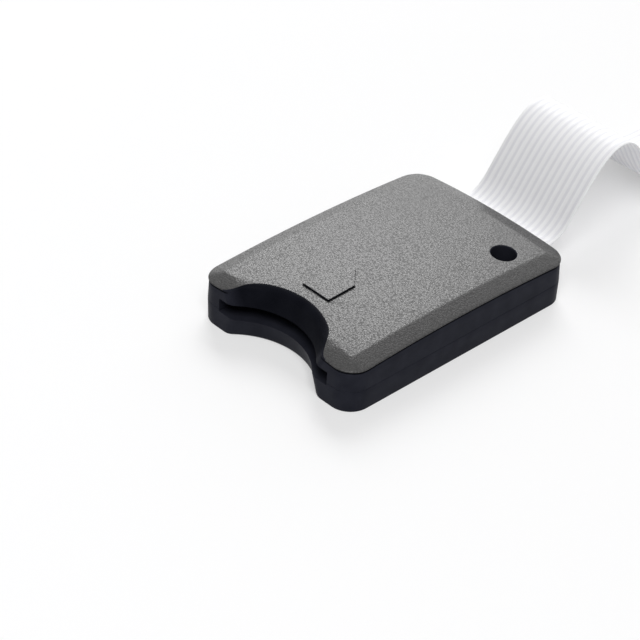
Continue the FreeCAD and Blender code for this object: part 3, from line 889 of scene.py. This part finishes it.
# What the covers hold inside, as in the solids
inside = {
    "boardBottom": boxOf("circuit_board")[0].z,
    "boardTop": boxOf("circuit_board")[1].z,
    "shieldTop": boxOf("socket_shield")[1].z,
    "socketRear": boxOf("socket_base")[1].y,
    "pinRadius": 0.9,
    "pinPlay": 0.1,
    "pinRise": 2.0,
    "pinSides": 24,
    "pinHoleLow": 0.5,
    "bossRadius": 2.0,
    "rearPin": (13.7, 12.4),
    "frontPin": (15.8, -22.4),
    "lipWidth": 0.7,
    "lipHeight": 1.0,
    "lipPlay": 0.1,
    "lipEndGap": 1.0,
    "ribX": 6.0,
    "ribWidth": 1.2,
    "ribShort": 2.0,     # how far the ribs stop before the socket's rear
    "ledgeWidth": 2.1,
    "ledgeLength": 6.0,
    "ledgeGap": 1.0,     # from the board's ends
    "clear": 0.1,        # air over the board and the socket's shield
    "sunk": 0.3,         # how deep a joined form starts in the wall that carries it
}


def roomLoop():
    inner = housing["halfWidth"] - housing["wall"]
    rear = housing["halfLength"] - housing["wall"]
    rearRound = housing["cornerRadius"] - housing["wall"]
    return rectLoop(-inner, inner, housing["pocketFront"], rear, rearRound=rearRound)


def lipLoops(width, intoRoom=0.0, steps=8):
    # the two halves of the lip, which stops at the notch and beside the ribbon
    front = housing["pocketFront"] + inside["lipEndGap"]
    gap = mouth["half"] + inside["lipEndGap"]
    path = {}
    for name, inset in (("outer", housing["wall"] - width), ("inner", housing["wall"] + intoRoom)):
        x, y = housing["halfWidth"] - inset, housing["halfLength"] - inset
        corner = housing["cornerRadius"] - inset
        path[name] = [(x, front)]
        middleX, middleY = x - corner, y - corner
        for step in range(steps + 1):
            turn = math.pi / 2 * step / steps
            path[name].append((middleX + corner * math.cos(turn), middleY + corner * math.sin(turn)))
        path[name].append((gap, y))
    right = path["outer"] + path["inner"][::-1]
    return [right, [(-x, y) for x, y in right[::-1]]]


def slotBlock():
    front, rear = -housing["halfLength"] - reach, housing["pocketFront"] + reach
    loop = rectLoop(-slot["half"], slot["half"], front, rear)
    return slab("slotBlock", loop, slot["low"], slot["high"])


def mirroredPlaces(place):
    return [place, (-place[0], place[1])]


# Light hole, with a collar inside that leads the light up
hole = {
    "place": (11.6, 16.4),
    "radius": 2.22,
    "rim": 0.25,         # radius of the broken rim
    "rimTurn": 75,       # degrees of it, straight on from there
    "flare": 1.0,        # width of the straight end, outside the cover
    "depth": 6.5,
    "count": 64,
    "collar": 3.0,
    "collarLow": 5.2,
}


def lightHoleTool():
    # turned on an axis square to the crown: straight wall and a broken rim
    x, y = hole["place"]
    axis = Vector((x / crownRadiusX, y / crownRadiusY, 1)).normalized()
    middle = Vector((x, y, crown(x, y)))
    across = axis.cross(Vector((0, 1, 0))).normalized()
    other = axis.cross(across)
    profile = [(hole["radius"], -hole["depth"])]
    for degrees in range(0, hole["rimTurn"] + 1, 15):
        turn = math.radians(degrees)
        radius = hole["radius"] + hole["rim"] * (1 - math.cos(turn))
        profile.append((radius, hole["rim"] * (math.sin(turn) - 1)))
    radius, rise = profile[-1]
    profile.append((radius + hole["flare"], rise + hole["flare"] / math.tan(turn)))
    points, count = [], hole["count"]
    for radius, rise in profile:
        for step in range(count):
            turn = 2 * math.pi * step / count
            spot = middle + axis * rise + radius * (across * math.cos(turn) + other * math.sin(turn))
            points.append(tuple(spot))
    faces = tubeFaces(len(profile), count)
    return meshObject("lightHole", points, faces, coverFinishes, [wallIndex] * len(faces))


def underRoof(x, y):
    return crown(x, y, housing["roof"])


def intoRoof(x, y):
    return crown(x, y, housing["roof"] - inside["sunk"])


def makeTopShell():
    shell = topShellBody()
    low = housing["joint"] - reach
    combine(shell, "DIFFERENCE", [slab("room", roomLoop(), low, underRoof)])
    added = []
    for x, y in mirroredPlaces(inside["rearPin"]):
        loop = circleLoop(x, y, inside["bossRadius"])
        added.append(slab("boss", loop, inside["boardTop"] + inside["clear"], intoRoof))
    for side in (-1, 1):
        x, half = side * inside["ribX"], inside["ribWidth"] / 2
        loop = rectLoop(x - half, x + half, housing["pocketFront"] - inside["sunk"],
                        inside["socketRear"] - inside["ribShort"])
        added.append(slab("rib", loop, inside["shieldTop"] + inside["clear"], intoRoof))
    loop = circleLoop(*hole["place"], hole["collar"], hole["count"])
    added.append(slab("collar", loop, hole["collarLow"], intoRoof))
    combine(shell, "UNION", added)
    cuts = [slotBlock(), lightHoleTool()]
    grooveHigh = housing["joint"] + inside["lipHeight"] + inside["lipPlay"]
    for loop in lipLoops(inside["lipWidth"] + inside["lipPlay"], inside["sunk"]):
        cuts.append(slab("lipGroove", loop, low, grooveHigh))
    rear = housing["halfLength"]
    loop = rectLoop(-mouth["half"], mouth["half"], rear - 2 * housing["wall"], rear + reach)
    cuts.append(slab("mouth", loop, low, mouth["high"]))
    for place, top in ((inside["rearPin"], inside["boardTop"]), (inside["frontPin"], housing["joint"])):
        high = top + inside["pinRise"] + 2 * inside["pinPlay"]
        for x, y in mirroredPlaces(place):
            loop = circleLoop(x, y, inside["pinRadius"] + inside["pinPlay"], inside["pinSides"])
            cuts.append(slab("pinHole", loop, inside["pinHoleLow"], high))
    combine(shell, "DIFFERENCE", cuts)
    dropSlivers(shell)
    smoothOver(shell)
    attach(shell, "root")
    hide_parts("top_cover")
    return shell


def makeBottomShell():
    shell = bottomShellBody()
    joint, high = housing["joint"], inside["boardBottom"]
    combine(shell, "DIFFERENCE", [slab("room", roomLoop(), housing["floor"], joint + 2 * reach)])
    added = []
    for loop in lipLoops(inside["lipWidth"]):
        added.append(slab("lip", loop, joint - inside["sunk"], joint + inside["lipHeight"]))
    length, gap = inside["ledgeLength"], inside["ledgeGap"]
    wall = housing["halfWidth"] - housing["wall"]
    boardLow, boardHigh = boxOf("circuit_board")
    low = housing["floor"] - inside["sunk"]
    for side in (-1, 1):
        left, right = sorted((side * (wall + inside["sunk"]), side * (wall - inside["ledgeWidth"])))
        for front in (boardLow.y + gap, boardHigh.y - gap - length):
            added.append(slab("ledge", rectLoop(left, right, front, front + length), low, high))
    for x, y in mirroredPlaces(inside["rearPin"]):
        added.append(slab("seat", circleLoop(x, y, inside["bossRadius"]), low, high))
    combine(shell, "UNION", added)
    pins = []
    pinSpans = [(inside["rearPin"], high, inside["boardTop"]), (inside["frontPin"], joint, joint)]
    for place, seat, top in pinSpans:
        for x, y in mirroredPlaces(place):
            loop = circleLoop(x, y, inside["pinRadius"], inside["pinSides"])
            pins.append(slab("pin", loop, seat - inside["sunk"], top + inside["pinRise"]))
    combine(shell, "UNION", pins)
    combine(shell, "DIFFERENCE", [slotBlock()])
    smoothOver(shell)
    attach(shell, "root")
    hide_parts("bottom_cover")
    return shell


topShell = makeTopShell()
print("top shell made:", len(topShell.data.polygons), "faces")
bottomShell = makeBottomShell()
print("bottom shell made:", len(bottomShell.data.polygons), "faces")


# Plug: a card-shaped cover with grip grooves on a thin board
plug = {
    "left": boxOf("plug_cover")[0].x,
    "right": boxOf("plug_cover")[1].x,
    "rear": boxOf("plug_cover")[0].y,
    "front": boxOf("plug_cover")[1].y,
    "low": boxOf("plug_cover")[0].z,
    "high": boxOf("plug_cover")[1].z,
    "corner": 1.0,
    "cutCorner": 4.0,
    "cutRound": 0.4,
    "leastRound": 0.05,
    "cornerSteps": 8,
    "edgeRound": 0.25,
    "lowBreak": 0.04,    # the lower edge is broken by this much
    "grooves": 5,
    "groovePitch": 1.6,
    "grooveWidth": 0.8,
    "grooveDepth": 0.25,
    "grooveRound": 0.35,
    "grooveMargin": 3.0,
    "grooveFront": 5.2,
    "roomDepth": 8.1,    # room under the cover for the ribbon's end
    "roomHigh": 1.4,
}


def plugOutline(inset):
    # counter-clockwise, with two round rear corners and one cut front corner
    left, right = plug["left"] + inset, plug["right"] - inset
    rear, front = plug["rear"] + inset, plug["front"] - inset
    cut = plug["cutCorner"] - inset * (2 - math.sqrt(2))
    sharp = [(left, rear, plug["corner"]), (right, rear, plug["corner"]),
             (right, front - cut, plug["cutRound"]), (right - cut, front, plug["cutRound"]),
             (left, front, plug["corner"])]
    loop = []
    for index, (x, y, radius) in enumerate(sharp):
        before, after = Vector(sharp[index - 1][:2]), Vector(sharp[(index + 1) % len(sharp)][:2])
        here = Vector((x, y))
        into, out = (before - here).normalized(), (after - here).normalized()
        half = into.angle(out) / 2
        radius = max(radius - inset, plug["leastRound"])
        middle = here + (into + out).normalized() * radius / math.sin(half)
        startTurn = math.atan2(*(here + into * radius / math.tan(half) - middle).yx)
        swing = math.pi - 2 * half
        for step in range(plug["cornerSteps"] + 1):
            turn = startTurn + swing * step / plug["cornerSteps"]
            loop.append((middle.x + radius * math.cos(turn), middle.y + radius * math.sin(turn)))
    return loop


def makePlugTop():
    points, faces, starts = [], [], []
    bend = plug["edgeRound"]
    levels = [(plug["lowBreak"], plug["low"]), (0.0, plug["low"] + plug["lowBreak"])]
    for degrees in range(0, 91, 15):
        turn = math.radians(degrees)
        levels.append((bend * (1 - math.cos(turn)), plug["high"] - bend * (1 - math.sin(turn))))
    for inset, z in levels:
        starts.append(len(points))
        points += [(x, y, z) for x, y in plugOutline(inset)]
    count = starts[1]
    for lower, upper in zip(starts, starts[1:]):
        bridgeRings(faces, lower, upper, count)
    fillRing(points, faces, starts[0], count, lambda x, y: plug["low"], False)
    fillRing(points, faces, starts[-1], count, lambda x, y: plug["high"], True)
    # the second entry takes the faces that the cutters leave
    cover = meshObject("plugTop", points, faces, [plugFinish, plugFinish], [0] * len(faces))
    half = plug["right"] - plug["grooveMargin"]
    cuts = []
    for index in range(plug["grooves"]):
        front = plug["front"] - plug["grooveFront"] - index * plug["groovePitch"]
        rounds = plug["grooveRound"], plug["grooveRound"]
        loop = rectLoop(-half, half, front - plug["grooveWidth"], front, *rounds, arc=4)
        cuts.append(slab("groove", loop, plug["high"] - plug["grooveDepth"], plug["high"] + reach))
    loop = rectLoop(-mouth["half"], mouth["half"], plug["rear"] - reach, plug["rear"] + plug["roomDepth"])
    cuts.append(slab("tailRoom", loop, plug["low"] - reach, plug["roomHigh"]))
    combine(cover, "DIFFERENCE", cuts)
    smoothOver(cover)
    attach(cover, "root")
    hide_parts("plug_cover")
    return cover


plugFinish = plainPlastic("plugBlack", (0.018, 0.018, 0.020), (0.028, 0.028, 0.031), roughness=0.42,
                          grain=0.18, depth=0.01)
plugTop = makePlugTop()
print("plug made")


# Finishes for the solids that keep their own shape
def dressSolids():
    mask, track = (0.012, 0.085, 0.040), (0.020, 0.130, 0.060)
    gold, tinned = (0.92, 0.66, 0.28), (0.72, 0.70, 0.66)
    board = laminate("greenSolderMask", mask, track)
    plugBoard = laminate("plugSolderMask", (0.010, 0.060, 0.030), (0.016, 0.085, 0.042))
    socket = plainPlastic("socketBlack", (0.012, 0.012, 0.013), (0.020, 0.020, 0.022), roughness=0.5)
    shield = brushedMetal("socketShieldSteel", (0.72, 0.72, 0.71), roughness=0.32)
    contact = brushedMetal("springGold", gold, roughness=0.25)
    lens = plainPlastic("lightLens", (0.78, 0.80, 0.74), (0.88, 0.90, 0.84), roughness=0.2,
                        grain=0.3, depth=0.002, Transmission_Weight=0.3)
    black = plainPlastic("resistorBody", (0.020, 0.020, 0.022), (0.035, 0.035, 0.038), roughness=0.45)
    tan = plainPlastic("capacitorBody", (0.30, 0.20, 0.12), (0.38, 0.26, 0.16), roughness=0.5)
    tails = brushedMetal("tinnedCopper", tinned, roughness=0.35)
    stiff = plainPlastic("stiffenerBlue", (0.02, 0.07, 0.30), (0.03, 0.10, 0.38), roughness=0.35)
    pads = brushedMetal("padGold", gold, roughness=0.22)
    finishes = {
        "circuit_board": board, "plug_board": plugBoard, "socket_base": socket, "socket_shield": shield,
        "card_detect_switch": contact, "write_protect_switch": contact, "status_light": lens,
        "light_resistor": black, "pull_up_resistor": black, "supply_capacitor": tan, "plug_pads": pads,
        "ribbon_tails_board": tails, "ribbon_tails_plug": tails, "ribbon_stiffener": stiff,
    }
    for name, solid in nodes.items():
        finish = finishes.get(name, coverFinishes[wallIndex])
        if name.startswith("socket_contact"):
            finish = contact
        solid.data.materials.clear()
        solid.data.materials.append(finish)


dressSolids()
print("solids dressed")


# Studio: pale floor, white surround, two softboxes standing behind and a fill high in front
studio = {
    "floorHalf": 3000,
    "floorColor": (0.93, 0.93, 0.935),
    "floorGlow": 0.4,
    "worldStrength": 0.2,
}
lamps = {
    "softbox": {"at": (-700, 700, 725), "aim": (-700, 0, 725), "size": (1290, 1450), "watts": 8.0},
    "upperSoftbox": {"at": (-850, 690, 1020), "aim": (-850, 0, 1020), "size": (1000, 840), "watts": 15.5},
    "fill": {"at": (450, -450, 1100), "aim": (0, 0, 0), "size": (700, 700), "watts": 9.5},
}


def seenOrMirrored(tree):
    # 1 for rays that show the background: camera, glossy and transmission
    rays = addNode(tree, "LightPath").outputs
    value = rays["Is Camera Ray"]
    for other in ("Is Glossy Ray", "Is Transmission Ray"):
        value = mathOf(tree, "MAXIMUM", value, rays[other])
    return value


def makeFloor():
    half = studio["floorHalf"]
    tree = newFinish("paleFloor", Base_Color=(*studio["floorColor"], 1), Roughness=0.9,
                     Specular_IOR_Level=0.0)
    share = mathOf(tree, "MULTIPLY", seenOrMirrored(tree), studio["floorGlow"])
    glow = addNode(tree, "Emission").outputs[0]
    look = mixShaders(tree, share, tree.nodes["Principled BSDF"].outputs[0], glow)
    feed(tree, tree.nodes["Material Output"].inputs["Surface"], look)
    corners = [(-half, -half, 0), (half, -half, 0), (half, half, 0), (-half, half, 0)]
    meshObject("floor", corners, [(0, 1, 2, 3)], [materialOf(tree)])


def makeWorld():
    world = bpy.data.worlds.new("studioWorld")
    bpy.context.scene.world = world
    world.use_nodes = True
    tree = world.node_tree
    fill = tree.nodes["Background"]
    fill.inputs["Color"].default_value = (1, 1, 1, 1)
    fill.inputs["Strength"].default_value = studio["worldStrength"]
    white = addNode(tree, "Background", Color=(1, 1, 1, 1))
    look = mixShaders(tree, seenOrMirrored(tree), fill.outputs[0], white.outputs[0])
    feed(tree, tree.nodes["World Output"].inputs["Surface"], look)


def makeLamp(name, setup):
    data = bpy.data.lights.new(name, "AREA")
    data.shape = "RECTANGLE"
    data.size, data.size_y = (side * mm for side in setup["size"])
    data.energy = setup["watts"]
    lamp = showObject(name, data)
    standAt(lamp, setup["at"], setup["aim"])


makeFloor()
makeWorld()
for lampName, lampSetup in lamps.items():
    makeLamp(lampName, lampSetup)
print("studio lit")
